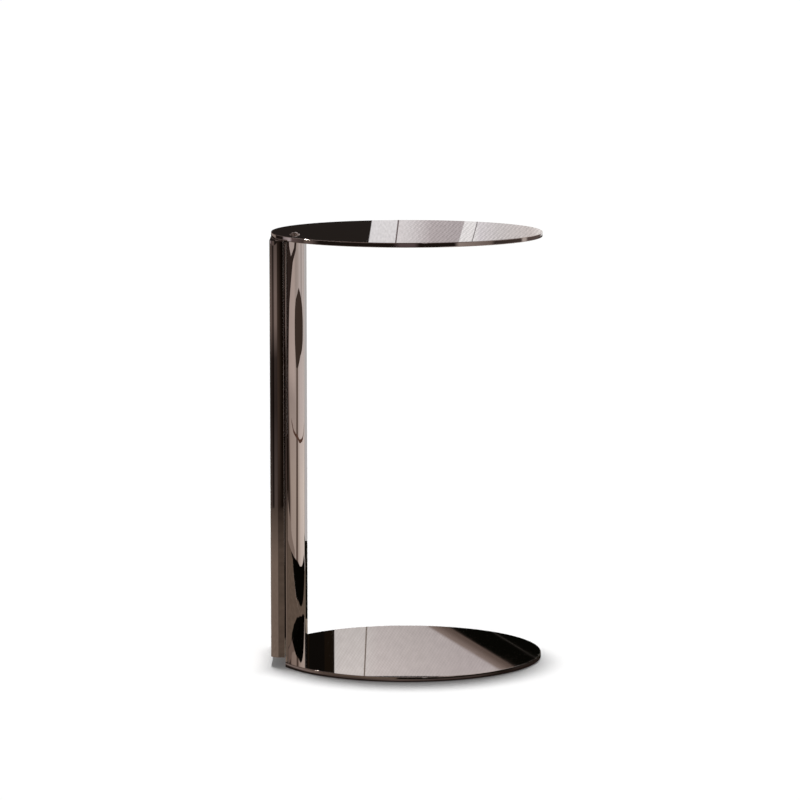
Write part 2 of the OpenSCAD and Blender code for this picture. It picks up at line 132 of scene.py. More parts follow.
def weld(piece, distance=1e-7):
    bm = bmesh.new()
    bm.from_mesh(piece.data)
    bmesh.ops.remove_doubles(bm, verts=bm.verts, dist=distance)
    bmesh.ops.dissolve_degenerate(bm, edges=bm.edges, dist=distance)
    bmesh.ops.recalc_face_normals(bm, faces=bm.faces)
    bm.to_mesh(piece.data)
    bm.free()


def apply_modifiers(piece):
    graph = bpy.context.evaluated_depsgraph_get()
    made = bpy.data.meshes.new_from_object(piece.evaluated_get(graph))
    piece.modifiers.clear()
    old = piece.data
    piece.data = made
    bpy.data.meshes.remove(old)


def remove_object(piece):
    mesh = piece.data
    bpy.data.objects.remove(piece)
    bpy.data.meshes.remove(mesh)


def join(name, pieces):
    bm = bmesh.new()
    for piece in pieces:
        bm.from_mesh(piece.data)
        remove_object(piece)
    mesh = bpy.data.meshes.new(name)
    bm.to_mesh(mesh)
    bm.free()
    return new_object(name, mesh)


def cut(piece, cutters):
    """Takes the cutters out of the piece."""
    tool = join(piece.name + "_tool", cutters)
    modifier = piece.modifiers.new("cut", "BOOLEAN")
    modifier.operation = "DIFFERENCE"
    modifier.solver = "EXACT"
    modifier.object = tool
    bpy.context.view_layer.update()
    apply_modifiers(piece)
    remove_object(tool)


def bevel(piece, width):
    """Eases the piece's sharp edges."""
    modifier = piece.modifiers.new("edges", "BEVEL")
    modifier.width = width
    modifier.segments = 3
    modifier.limit_method = "ANGLE"
    modifier.angle_limit = math.radians(60)
    apply_modifiers(piece)


def shade(piece, rule=None, angle=32):
    """Smooth shading with sharp edges kept, and exact normals where the rule gives one for a point of a face."""
    mesh = piece.data
    mesh.polygons.foreach_set("use_smooth", [True] * len(mesh.polygons))
    mesh.set_sharp_from_angle(angle=math.radians(angle))
    if rule is None:
        return
    normals = [Vector(n.vector) for n in mesh.corner_normals]
    for face in mesh.polygons:
        for corner in face.loop_indices:
            exact = rule(mesh.vertices[mesh.loops[corner].vertex_index].co, face.normal)
            if exact is not None:
                normals[corner] = exact
    mesh.normals_split_custom_set(normals)


def loft(name, rings, looped=False):
    """A closed surface through rings of points: capped at both ends, or with its last ring joined to its first."""
    n = len(rings[0])
    verts = [point for ring in rings for point in ring]
    faces = []
    for band in range(len(rings) if looped else len(rings) - 1):
        a, b = band * n, (band + 1) % len(rings) * n
        faces += [(a + k, a + (k + 1) % n, b + (k + 1) % n, b + k) for k in range(n)]
    if not looped:
        faces += [tuple(reversed(range(n))), tuple(range(len(verts) - n, len(verts)))]
    piece = mesh_object(name, verts, faces)
    weld(piece)
    return piece


def lathe(name, profile, centre, turn=None, segments=96):
    """A closed outline of (radius, height) points turned round the z axis, then turned and placed."""
    angles = [2 * math.pi * s / segments for s in range(segments)]
    piece = loft(name, [[(r * math.cos(a), r * math.sin(a), h) for r, h in profile] for a in angles], looped=True)
    place = Matrix.Translation(Vector(centre))
    piece.data.transform(place @ turn if turn else place)
    return piece


def upright_bar(name, rings, hollow=False):
    """An upright bar through outlines, each with its height. A hollow one runs up outside and down inside."""
    return loft(name, [[(p[0], p[1], z) for p in outline] for outline, z in rings], looped=hollow)


def block(low, high):
    outline = [(low[0], low[1]), (high[0], low[1]), (high[0], high[1]), (low[0], high[1])]
    return upright_bar("block", [(outline, low[2]), (outline, high[2])])


def rounded(points, radii, steps=6):
    """A closed outline whose corners are eased by their own radii."""
    out = []
    for i, (p, r) in enumerate(zip(points, radii)):
        here, before, after = Vector(p), Vector(points[i - 1]), Vector(points[(i + 1) % len(points)])
        if r <= 0:
            out.append(tuple(here))
            continue
        u, v = (before - here).normalized(), (after - here).normalized()
        half = math.acos(max(-1, min(1, u.dot(v)))) / 2
        centre = here + (u + v).normalized() * (r / math.sin(half))
        first, last = (here + way * (r / math.tan(half)) - centre for way in (u, v))
        start = math.atan2(first.y, first.x)
        sweep = (math.atan2(last.y, last.x) - start + math.pi) % (2 * math.pi) - math.pi
        for k in range(steps + 1):
            angle = start + sweep * k / steps
            out.append((centre.x + r * math.cos(angle), centre.y + r * math.sin(angle)))
    return out


def screw_holes(facing, places, screw):
    """Room for flush screws, drawn a little proud of the face so that the cut is clean."""
    proud = 0.2 * MM
    head, shank, end = screw["Head"] / 2 + FIT, screw["Shank"] / 2 + FIT, -screw["Length"] - FIT
    outline = [(0, proud), (head, proud), (head, 0), (shank, shank - head), (shank, end), (0, end)]
    return [lathe("hole", outline, place, FACING[facing], 48) for place in places]


def round_holes(places, radius, length, turn=None):
    outline = [(0, 0), (radius, 0), (radius, length), (0, length)]
    return [lathe("hole", outline, place, turn, 64) for place in places]


# ---------------------------------------------------------------- outlines of the spine

def column_side(inset=0.0):
    """Low side of the column's section from its back face to its front, as (x, y, normal x, normal y)."""
    seam = (COLUMN_X + SEAM_R, SEAM_R - SPINE_HALF)
    side = (seam[0] + (SEAM_R - SIDE_R) * math.sin(SIDE_LEAN), seam[1] - (SEAM_R - SIDE_R) * math.cos(SIDE_LEAN))
    nose = (side[0] + (SIDE_R - NOSE_R) * math.sin(NOSE_LEAN), side[1] - (SIDE_R - NOSE_R) * math.cos(NOSE_LEAN))
    points = []

    def arc(centre, radius, start, end, steps):
        for k in range(steps + 1):
            a = start + (end - start) * k / steps
            nx, ny = math.sin(a), -math.cos(a)
            points.append((centre[0] + radius * nx, centre[1] + radius * ny, nx, ny))

    first = SIDE_LEAN
    if inset > 0:
        first = math.asin((COLUMN_X + inset - side[0]) / (SIDE_R - inset))
        arc(side, SIDE_R - inset, first, first, 16)
    else:
        arc(seam, SEAM_R, math.radians(-90), SIDE_LEAN, 16)
    arc(side, SIDE_R - inset, first, NOSE_LEAN, 40)
    arc(nose, NOSE_R - inset, NOSE_LEAN, math.radians(90), 60)
    return points


def blade_side(inset=0.0):
    """Low side of the blade's section from its outer face to its inner one."""
    points = []
    eased = max(EDGE_R, inset)
    for radius, start, x, steps in ((BLADE_R, 180, BLADE_X + BLADE_R, 36), (eased, 270, BLADE_IN - eased, 12)):
        for k in range(steps + 1):
            a = math.radians(start + 90 * k / steps)
            nx, ny = math.cos(a), math.sin(a)
            points.append((x + (radius - inset) * nx, radius - SPINE_HALF + (radius - inset) * ny, nx, ny))
    return points


def both_sides(side):
    return side + [(x, -y, nx, -ny) for x, y, nx, ny in reversed(side)]


def tube(name, side, z0, z1):
    """A hollow upright bar of that section, open at both ends."""
    outer, inner = both_sides(side()), both_sides(side(WALL))
    return upright_bar(name, [(outer, z0), (outer, z1), (inner, z1), (inner, z0)], hollow=True)


def spine_rule(outline, tolerance=0.02 * MM):
    """Exact normals on the outside of a bar, from its outline's own points."""
    table = {(round(x / tolerance), round(y / tolerance)): Vector((nx, ny, 0)) for x, y, nx, ny in outline}

    def rule(co, face_normal):
        if abs(face_normal.z) > 0.9:
            return None
        cx, cy = round(co.x / tolerance), round(co.y / tolerance)
        for i in (0, -1, 1):
            for j in (0, -1, 1):
                found = table.get((cx + i, cy + j))
                if found is not None and found.dot(face_normal) > 0.9:
                    return found
        return None

    return rule


# ---------------------------------------------------------------- plates

def plate(name, z0, z1):
    """A round plate with eased rims."""
    turns = [math.radians(90 * k / 14) for k in range(15)]
    rings = [(DISC_R - RIM_R + RIM_R * math.cos(a), z0 + RIM_R - RIM_R * math.sin(a)) for a in reversed(turns)]
    rings += [(DISC_R - RIM_R + RIM_R * math.cos(a), z1 - RIM_R + RIM_R * math.sin(a)) for a in turns]
    around = [2 * math.pi * k / 512 for k in range(512)]
    return loft(name, [[(r * math.cos(a), r * math.sin(a), z) for a in around] for r, z in rings])


def plate_rule(z0, z1):
    """Exact normals on a plate's faces and rim. The straight cut of the base keeps its own."""
    def rule(co, face_normal):
        if abs(face_normal.z) > 0.9999:
            return Vector((0, 0, 1 if face_normal.z > 0 else -1))
        radius = math.hypot(co.x, co.y)
        if radius < DISC_R - RIM_R - 0.05 * MM or face_normal.x * co.x + face_normal.y * co.y < 0:
            return None
        if abs(face_normal.x) > 0.9999 and abs(co.x - COLUMN_X) < 0.01 * MM:
            return None
        rise = 0.0
        if co.z > z1 - RIM_R:
            rise = (co.z - z1 + RIM_R) / RIM_R
        elif co.z < z0 + RIM_R:
            rise = (co.z - z0 - RIM_R) / RIM_R
        rise = max(-1, min(1, rise))
        out = math.sqrt(1 - rise * rise) / radius
        return Vector((co.x * out, co.y * out, rise))

    return rule


# ---------------------------------------------------------------- node trees

def socket(group, name, kind, value=None, out=False):
    made = group.interface.new_socket(name=name, in_out="OUTPUT" if out else "INPUT", socket_type=kind)
    if value is not None:
        made.default_value = value


class Paint:
    """Shorthand for a node tree: sockets or plain values go in, a socket comes out."""

    def __init__(self, tree):
        self.tree, self.nodes, self.links = tree, tree.nodes, tree.links
        self.nodes.clear()

    def put(self, value, target):
        if isinstance(value, bpy.types.NodeSocket):
            self.links.new(value, target)
        elif isinstance(value, tuple) and len(value) == 3 and target.type == "RGBA":
            target.default_value = (*value, 1)
        else:
            target.default_value = value

    def node(self, kind, inputs=None, **settings):
        made = self.nodes.new(kind)
        for name, value in settings.items():
            setattr(made, name, value)
        for name, value in (inputs or {}).items():
            self.put(value, made.inputs[name])
        return made

    def math(self, operation, *values):
        return self.node("ShaderNodeMath", dict(enumerate(values)), operation=operation).outputs[0]

    def place(self):
        coordinates = self.node("ShaderNodeTexCoord").outputs["Object"]
        return self.node("ShaderNodeSeparateXYZ", {0: coordinates}).outputs

    def past(self, value, edge, soft=0.0008):
        """0 before the edge and 1 past it."""
        return self.node("ShaderNodeMapRange", {"Value": value, "From Min": edge - soft, "From Max": edge + soft},
                         interpolation_type="SMOOTHSTEP").outputs[0]

    def between(self, value, low, high, soft=0.0008):
        return self.math("SUBTRACT", self.past(value, low, soft), self.past(value, high, soft))

    def span(self, value, low, high, to_low=0.0, to_high=1.0):
        return self.node("ShaderNodeMapRange", {"Value": value, "From Min": low, "From Max": high,
                                                "To Min": to_low, "To Max": to_high}).outputs[0]

    def mix(self, factor, first, second, kind="MIX"):
        node = self.node("ShaderNodeMix", {0: factor}, data_type="RGBA", blend_type=kind)
        for name, tone in (("A", first), ("B", second)):
            self.put(tone, [s for s in node.inputs if s.name == name and s.type == "RGBA"][0])
        return [s for s in node.outputs if s.type == "RGBA"][0]

    def ramp(self, value, low, high, stops):
        node = self.node("ShaderNodeValToRGB", {0: self.span(value, low, high)})
        ends = node.color_ramp.elements
        while len(ends) < len(stops):
            ends.new(0.5)
        for end, (place, tone) in zip(ends, stops):
            end.position = (place - low) / (high - low)
            end.color = (*tone, 1)
        return node.outputs[0]

    def scale(self, tone, factor):
        return self.node("ShaderNodeVectorMath", {0: tone, "Scale": factor}, operation="SCALE").outputs[0]

    def noise(self, size, stretch=(1, 1, 1), detail=2.0):
        place = self.node("ShaderNodeTexCoord").outputs["Object"]
        place = self.node("ShaderNodeVectorMath", {0: place, 1: stretch}, operation="MULTIPLY").outputs[0]
        scale = self.math("DIVIDE", 1, size) if isinstance(size, bpy.types.NodeSocket) else 1 / size
        return self.node("ShaderNodeTexNoise", {"Vector": place, "Scale": scale, "Detail": detail}).outputs["Fac"]

    def streaks(self, size, stretch, depth, detail=3.0):
        """A factor about 1 that varies by the depth."""
        return self.span(self.noise(size, stretch, detail), 0.3, 0.7, 1 - depth, 1 + depth)

    def waves(self, value, period):
        return self.math("SINE", self.math("MULTIPLY", value, 2 * math.pi / period))

    def turn(self, x, y, centre=(0, 0)):
        """Degrees from straight in front, seen from the centre, with the left negative."""
        back = self.math("MULTIPLY", self.math("SUBTRACT", y, centre[1]), -1)
        angle = self.math("ARCTAN2", self.math("SUBTRACT", x, centre[0]), back)
        return self.math("MULTIPLY", angle, 180 / math.pi)

    def distance(self, x, y, centre=(0, 0)):
        squares = [self.math("POWER", self.math("SUBTRACT", v, c), 2) for v, c in zip((x, y), centre)]
        return self.math("SQRT", self.math("ADD", *squares))

    def seen_directly(self):
        """1 where the camera, a mirror or glass sees the surface, 0 where it only lights something."""
        path = self.node("ShaderNodeLightPath").outputs
        return self.math("MAXIMUM", self.math("MAXIMUM", path["Is Camera Ray"], path["Is Glossy Ray"]),
                         path["Is Transmission Ray"])

    def shader(self, kind, **values):
        return self.node(kind, values).outputs[0]

    def show(self, shader, kind="ShaderNodeOutputMaterial"):
        self.node(kind, {"Surface": shader})


def painted(name):
    material = bpy.data.materials.get(name) or bpy.data.materials.new(name)
    material.use_nodes = True
    return material, Paint(material.node_tree)


# ---------------------------------------------------------------- finishes

def marks_group():
    """Slow and fine unevenness of a surface: two noises that move colour, roughness and height a little."""
    group = bpy.data.node_groups.new("surface_marks", "ShaderNodeTree")
    socket(group, "Colour", "NodeSocketColor", (0.5, 0.5, 0.5, 1))
    socket(group, "Second Colour", "NodeSocketColor", (0.4, 0.4, 0.4, 1))
    socket(group, "Roughness Low", "NodeSocketFloat", 0.3)
    socket(group, "Roughness High", "NodeSocketFloat", 0.4)
    socket(group, "Patch Size", "NodeSocketFloat", 0.05)
    socket(group, "Grain Size", "NodeSocketFloat", 0.001)
    socket(group, "Grain Stretch", "NodeSocketVector", (1, 1, 1))
    socket(group, "Colour", "NodeSocketColor", out=True)
    socket(group, "Roughness", "NodeSocketFloat", out=True)
    socket(group, "Height", "NodeSocketFloat", out=True)
    paint = Paint(group)
    given = paint.node("NodeGroupInput").outputs
    patches = paint.noise(given["Patch Size"], detail=4)
    grain = paint.noise(given["Grain Size"], given["Grain Stretch"], 3)
    both = paint.math("MULTIPLY_ADD", grain, 0.5, paint.math("MULTIPLY", patches, 0.5))
    colour = paint.mix(paint.span(both, 0.35, 0.65), given["Colour"], given["Second Colour"])
    rough = paint.span(patches, 0.3, 0.7, given["Roughness Low"], given["Roughness High"])
    paint.node("NodeGroupOutput", {"Colour": colour, "Roughness": rough, "Height": grain})
    return group


MARKS = marks_group()


def finish(name, colour, second, rough, patch, grain, metallic=0.0, stretch=(1, 1, 1), relief=None, **uniform):
    """A finish of two close colours, with its range of roughness, its patch and grain sizes, and any relief."""
    material, paint = painted(name)
    marked = paint.node("ShaderNodeGroup", {
        "Colour": colour, "Second Colour": second, "Roughness Low": rough[0], "Roughness High": rough[1],
        "Patch Size": patch, "Grain Size": grain, "Grain Stretch": stretch}, node_tree=MARKS).outputs
    inputs = {"Base Color": marked["Colour"], "Roughness": marked["Roughness"], "Metallic": metallic}
    inputs.update({key.replace("_", " "): value for key, value in uniform.items()})
    if relief:
        inputs["Normal"] = paint.shader("ShaderNodeBump", Strength=relief[0], Distance=relief[1],
                                        Height=marked["Height"])
    paint.show(paint.node("ShaderNodeBsdfPrincipled", inputs).outputs[0])
    return material


FINISHES = {material.name: material for material in (
    finish("dark_nickel", (0.47, 0.405, 0.38), (0.455, 0.39, 0.365), (0.012, 0.03), 0.06, 0.004, 1.0),
    finish("inner_steel", (0.30, 0.30, 0.31), (0.25, 0.25, 0.26), (0.32, 0.42), 0.02, 0.0006, 1.0, (1, 1, 12),
           (0.25, 0.00005)),
    finish("screw_steel", (0.60, 0.60, 0.62), (0.50, 0.50, 0.50), (0.26, 0.36), 0.004, 0.0004, 1.0,
           relief=(0.15, 0.00003)),
    finish("rail_steel", (0.60, 0.60, 0.60), (0.50, 0.50, 0.51), (0.20, 0.30), 0.02, 0.0005, 1.0, (14, 14, 1),
           (0.25, 0.00003)),
    finish("bright_chrome", (0.80, 0.80, 0.80), (0.76, 0.76, 0.77), (0.04, 0.08), 0.03, 0.002, 1.0),
    finish("cylinder_paint", (0.020, 0.020, 0.021), (0.030, 0.030, 0.030), (0.38, 0.50), 0.02, 0.0012,
           relief=(0.2, 0.00008)),
    finish("guide_plastic", (0.80, 0.78, 0.72), (0.74, 0.72, 0.66), (0.42, 0.52), 0.02, 0.0008,
           relief=(0.2, 0.00005)),
    finish("black_plastic", (0.030, 0.030, 0.030), (0.045, 0.045, 0.045), (0.48, 0.60), 0.015, 0.0006,
           relief=(0.35, 0.0001)),
    finish("black_rubber", (0.022, 0.022, 0.022), (0.035, 0.034, 0.033), (0.70, 0.85), 0.01, 0.0008,
           relief=(0.3, 0.0001)),
    finish("felt", (0.11, 0.105, 0.10), (0.17, 0.165, 0.16), (0.92, 1.0), 0.006, 0.0005,
           relief=(0.8, 0.0003), Sheen_Weight=0.4),
)}

SLOTS = {row["node"]: row["material_slot"] for row in frame["record"]["subparts"]}
for node, piece in frame["nodes"].items():
    piece.data.materials.clear()
    piece.data.materials.append(FINISHES[SLOTS[node]])


def stands_for(piece, node):
    """Dresses the piece in its node's finish, and shows it in the node's place, on the node's body."""
    piece.data.materials.clear()
    piece.data.materials.append(FINISHES[SLOTS[node]])
    body = frame["nodes"][node]["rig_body"]
    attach(piece, body)
    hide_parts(node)


# ---------------------------------------------------------------- the table's own pieces

top = plate("top_disc", TOP_UNDER, TOP_H)
cut(top, round_holes([(BUTTON_PLACE[0], BUTTON_PLACE[1], TOP_UNDER - MM)], COLLAR_HOLE_R, 9 * MM))
shade(top, plate_rule(TOP_UNDER, TOP_H))
stands_for(top, "top_plate")

base = plate("base_disc", BASE_Z, BASE_TOP)
cut(base, [block((-0.3, -0.3, -0.01), (COLUMN_X, 0.3, 0.02))] + screw_holes("floor", FOOT_SCREWS, LARGE_SCREW)
    + round_holes(GLIDES, GLIDE_R + FIT, GLIDE_T))
shade(base, plate_rule(BASE_Z, BASE_TOP))
stands_for(base, "base_plate")

column = tube("column", column_side, BASE_TOP, COLUMN_TOP)
cut(column, [block((COLUMN_X - MM, -SLOT_HALF, SLOT_Z), (COLUMN_X + 3 * MM, SLOT_HALF, COLUMN_TOP + MM))]
    + screw_holes("back", CAP_SCREWS + BRACKET_SCREWS + GUIDE_SCREWS, SMALL_SCREW)
    + round_holes([(COLUMN_X - MM, y, z) for y, z in WEAR_PADS], PAD_R + FIT, 4 * MM, FACING["front"]))
shade(column, spine_rule(both_sides(column_side())))
stands_for(column, "column_shell")

blade = tube("blade", blade_side, BLADE_Z, PLUG_Z)
cut(blade, screw_holes("front", PLUG_SCREWS, SMALL_SCREW)
    + round_holes([(BLADE_IN - 4 * MM, 0, z) for z in RAIL_HOLES], RAIL_HOLE_R, 6 * MM, FACING["front"]))
shade(blade, spine_rule(both_sides(blade_side())))
stands_for(blade, "outer_blade")

inside, outside = both_sides(blade_side(WALL + FIT)), both_sides(blade_side())
plug = upright_bar("plug", [(inside, TOP_UNDER - PLUG_H), (inside, PLUG_Z), (outside, PLUG_Z), (outside, TOP_UNDER)])
cut(plug, screw_holes("front", PLUG_SCREWS, SMALL_SCREW))
shade(plug, spine_rule(outside))
stands_for(plug, "blade_plug")

end_cap = upright_bar("end_cap", [(inside, BLADE_Z), (inside, BLADE_Z + END_CAP_H)])
bevel(end_cap, 0.5 * MM)
shade(end_cap)
stands_for(end_cap, "blade_end_cap")


def dome_height(radius):
    return BUTTON_TOP - DOME_R + math.sqrt(DOME_R ** 2 - radius ** 2)


shoulder = dome_height(BUTTON_R)
outline = [(0, STEM_FOOT), (STEM_R - BUTTON_EASE, STEM_FOOT), (STEM_R, STEM_FOOT + BUTTON_EASE),
           (STEM_R, BUTTON_FOOT), (BUTTON_R - BUTTON_EASE, BUTTON_FOOT), (BUTTON_R, BUTTON_FOOT + BUTTON_EASE)]
outline += rounded([(BUTTON_R, shoulder - MM), (BUTTON_R, shoulder), (BUTTON_R - MM, dome_height(BUTTON_R - MM))],
                   [0, BUTTON_EASE, 0])[:-1]
outline += [(BUTTON_R * k / 12, dome_height(BUTTON_R * k / 12)) for k in range(10, -1, -1)]
button = lathe("button", outline, BUTTON_PLACE)
shade(button, angle=40)
stands_for(button, "release_button")

outline = rounded([(LEDGE_R, TOP_UNDER), (SLEEVE_R, TOP_UNDER), (SLEEVE_R, TOP_H), (FLANGE_R, TOP_H),
                   (FLANGE_R, TOP_H + FLANGE_T), (BORE_R, TOP_H + FLANGE_T), (BORE_R, TOP_UNDER + LEDGE_T),
                   (LEDGE_R, TOP_UNDER + LEDGE_T)], [0, 0.2 * MM, 0, 0, 0.6 * MM, 0.25 * MM, 0, 0.1 * MM])
collar = lathe("collar", outline, BUTTON_PLACE)
shade(collar, angle=40)
stands_for(collar, "button_collar")


# ---------------------------------------------------------------- screws, pads and bumpers, by Geometry Nodes

class Tree(Paint):
    """A Geometry Nodes tree with named inputs for sizes, which sets one piece on every point of a mesh."""

    def __init__(self, name, sizes):
        super().__init__(bpy.data.node_groups.new(name, "GeometryNodeTree"))
        socket(self.tree, "Geometry", "NodeSocketGeometry")
        for size in sizes:
            socket(self.tree, size, "NodeSocketFloat", MM)
        socket(self.tree, "Material", "NodeSocketMaterial")
        socket(self.tree, "Geometry", "NodeSocketGeometry", out=True)
        self.given = self.node("NodeGroupInput").outputs

    def raised(self, mesh, height):
        lift = self.node("ShaderNodeCombineXYZ", {"Z": height}).outputs[0]
        return self.node("GeometryNodeTransform", {"Geometry": mesh, "Translation": lift}).outputs[0]

    def finish(self, mesh):
        """Sets the piece on every place, then makes it real and gives it its material."""
        placed = self.node("GeometryNodeInstanceOnPoints", {"Points": self.given["Geometry"], "Instance": mesh})
        real = self.node("GeometryNodeRealizeInstances", {0: placed.outputs[0]})
        dressed = self.node("GeometryNodeSetMaterial",
                            {"Geometry": real.outputs[0], "Material": self.given["Material"]})
        self.node("NodeGroupOutput", {"Geometry": dressed.outputs[0]})
        return self.tree


def disc_tree():
    tree = Tree("discs", ["Radius", "Thickness"])
    radius, thickness = tree.given["Radius"], tree.given["Thickness"]
    disc = tree.node("GeometryNodeMeshCylinder", {"Vertices": 48, "Radius": radius, "Depth": thickness})
    return tree.finish(tree.raised(disc.outputs["Mesh"], tree.math("MULTIPLY", thickness, 0.5)))


def screw_tree():
    """A flush screw with its head's face at height 0, a shank below and a hexagon socket."""
    tree = Tree("flush_screws", ["Shank", "Head", "Length"])
    shank, head, length = (tree.given[name] for name in ("Shank", "Head", "Length"))
    depth = tree.math("MULTIPLY", tree.math("SUBTRACT", head, shank), 0.5)
    rod = tree.math("SUBTRACT", length, tree.math("MULTIPLY", depth, 0.5))
    half = tree.math("MULTIPLY", shank, 0.5)
    cone = tree.node("GeometryNodeMeshCone", {
        "Vertices": 40, "Radius Top": tree.math("MULTIPLY", head, 0.5), "Radius Bottom": half, "Depth": depth})
    body = tree.node("GeometryNodeMeshCylinder", {"Vertices": 40, "Radius": half, "Depth": rod})
    key = tree.node("GeometryNodeMeshCylinder", {
        "Vertices": 6, "Radius": tree.math("MULTIPLY", shank, 0.3), "Depth": tree.math("MULTIPLY", shank, 0.6)})
    joined = tree.node("GeometryNodeMeshBoolean", operation="UNION", solver="EXACT")
    middle = tree.math("ADD", tree.math("MULTIPLY", depth, -0.5), tree.math("MULTIPLY", rod, -0.5))
    for mesh, height in ((cone, tree.math("MULTIPLY", depth, -1)), (body, middle)):
        tree.put(tree.raised(mesh.outputs["Mesh"], height), joined.inputs["Mesh 2"])
    sunk = tree.node("GeometryNodeMeshBoolean", {"Mesh 1": joined.outputs["Mesh"], "Mesh 2": key.outputs["Mesh"]},
                     operation="DIFFERENCE", solver="EXACT")
    return tree.finish(sunk.outputs["Mesh"])


def repeated(name, node, tree, places, turn=None, ease=0.0, **sizes):
    """The tree's piece at every place, with its own z axis turned by the matrix."""
    turn = turn or Matrix.Identity(4)
    back = turn.inverted()
    piece = mesh_object(name, [tuple(back @ Vector(place)) for place in places], [])
    modifier = piece.modifiers.new("places", "NODES")
    modifier.node_group = tree
    values = dict(sizes, Material=FINISHES[SLOTS[node]])
    for item in tree.interface.items_tree:
        if item.item_type == "SOCKET" and item.in_out == "INPUT" and item.name in values:
            modifier[item.identifier] = values[item.name]
    bpy.context.view_layer.update()
    apply_modifiers(piece)
    piece.data.transform(turn)
    weld(piece)
    if ease > 0:
        bevel(piece, ease)
    shade(piece, angle=35)
    stands_for(piece, node)


DISCS, SCREWS = disc_tree(), screw_tree()
repeated("glides", "base_pads", DISCS, GLIDES, ease=0.45 * MM, Radius=GLIDE_R, Thickness=GLIDE_T)
repeated("rest_discs", "rest_bumpers", DISCS,
         [(COLUMN_X + 0.65 * COLUMN_DEPTH, side * BUMPER_Y, COLUMN_TOP - BUMPER_SUNK) for side in SIDES],
         ease=0.3 * MM, Radius=BUMPER_R, Thickness=BUMPER_T)
repeated("rubbing_discs", "wear_pads", DISCS, [(COLUMN_X - PAD_RISE, y, z) for y, z in WEAR_PADS], FACING["front"],
         ease=0.2 * MM, Radius=PAD_R, Thickness=WALL + PAD_RISE)
repeated("foot_screws", "base_screws", SCREWS, FOOT_SCREWS, FACING["floor"], **LARGE_SCREW)
repeated("top_screws", "cap_screws", SCREWS, CAP_SCREWS, FACING["back"], **SMALL_SCREW)
repeated("spring_screws", "bracket_screws", SCREWS, BRACKET_SCREWS, FACING["back"], **SMALL_SCREW)
repeated("block_screws", "guide_screws", SCREWS, GUIDE_SCREWS, FACING["back"], **SMALL_SCREW)
repeated("blade_screws", "plug_screws", SCREWS, PLUG_SCREWS, FACING["front"], **SMALL_SCREW)


# ---------------------------------------------------------------- the camera

CAMERA_LENS, SENSOR = 171, 36
CAMERA_PLACE, CAMERA_DIP = (-0.0102, -5.579, 1.108), math.radians(7.3825)

camera_data = bpy.data.cameras.new("camera")
camera_data.lens = CAMERA_LENS
camera_data.sensor_width = SENSOR
camera_data.clip_end = 200
camera = new_object("camera", camera_data)
camera.location = CAMERA_PLACE
camera.rotation_euler = (math.pi / 2 - CAMERA_DIP, 0, 0)
bpy.context.scene.camera = camera
bpy.context.scene.view_settings.view_transform = "Standard"


# ---------------------------------------------------------------- floor, air and sun

AIR_LIGHT, SUN_LIGHT = 0.17, 0.85
SUN_ANGLE, SUN_WAY = math.radians(6), (0.005, -0.066, -1)
FLOOR_TONE, FLOOR_LIFT = 0.915, 0.085
FLOOR_LIGHTING_TONE = 0.82
FLOOR_HALF = 60

floor = mesh_object("floor", [(x * FLOOR_HALF, y * FLOOR_HALF, 0) for x, y in ((-1, -1), (1, -1), (1, 1), (-1, 1))],
                    [(0, 1, 2, 3)])
material, paint = painted("floor")
seen = paint.shader("ShaderNodeBsdfDiffuse", Color=(FLOOR_TONE,) * 3)
seen = paint.node("ShaderNodeAddShader", {
    0: seen, 1: paint.shader("ShaderNodeEmission", Color=(1, 1, 1), Strength=FLOOR_LIFT)}).outputs[0]
plain = paint.shader("ShaderNodeBsdfDiffuse", Color=(FLOOR_LIGHTING_TONE,) * 3)
paint.show(paint.node("ShaderNodeMixShader", {0: paint.seen_directly(), 1: plain, 2: seen}).outputs[0])
floor.data.materials.append(material)

world = bpy.data.worlds.new("studio")
bpy.context.scene.world = world
world.use_nodes = True
paint = Paint(world.node_tree)
paint.show(paint.shader("ShaderNodeBackground", Color=(1, 1, 1),
                        Strength=paint.span(paint.seen_directly(), 0, 1, AIR_LIGHT, 1.0)),
           "ShaderNodeOutputWorld")

sun_data = bpy.data.lights.new("overhead", "SUN")
sun_data.energy = SUN_LIGHT * math.pi
sun_data.angle = SUN_ANGLE
sun = new_object("overhead", sun_data)
sun.rotation_euler = Vector(SUN_WAY).to_track_quat("-Z", "Y").to_euler()
sun.visible_glossy = False


# ---------------------------------------------------------------- the room that the mirrors see

SPINE_PLACE = (-0.19, -0.09)
BACK_Y, LEFT_X, RIGHT_X, FRONT_Y, WALL_H, CEILING_Z = 1.5, -1.7, 2.2, -2.4, 1.6, 2.6
BACK_SPLIT_Z, BACK_TOP_Z = 0.6, 1.7
SEAT_X, SEAT_SHADE_X, SEAT_LIGHT_X, SEAT_LIP_X = 0.25, 0.2495, 0.249, 0.2485
GLOW_Y = 0.25
FLOOR_CARD_Z, BASE_SHADOW_Z, RIM_CARD_Z = 0.0004, 0.0007, 0.0008
RING_R = 0.33

PALE, BROWN = (0.87, 0.85, 0.84), (0.31, 0.26, 0.22)
BLACK, GAP_BLACK = (0.003, 0.003, 0.002), (0.012, 0.008, 0.005)


def card(name, faces, tone, strength=1.0):
    """A studio card that only mirrors see: flat faces, each a ring of corners, in one plain or painted tone."""
    verts = [corner for face in faces for corner in face]
    rings, start = [], 0
    for face in faces:
        rings.append(tuple(range(start, start + len(face))))
        start += len(face)
    piece = mesh_object(name, verts, rings)
    for ray in ("camera", "diffuse", "shadow", "transmission", "volume_scatter"):
        setattr(piece, "visible_" + ray, False)
    material, paint = painted(name)
    paint.show(paint.shader("ShaderNodeEmission", Color=tone(paint) if callable(tone) else tone, Strength=strength))
    piece.data.materials.append(material)


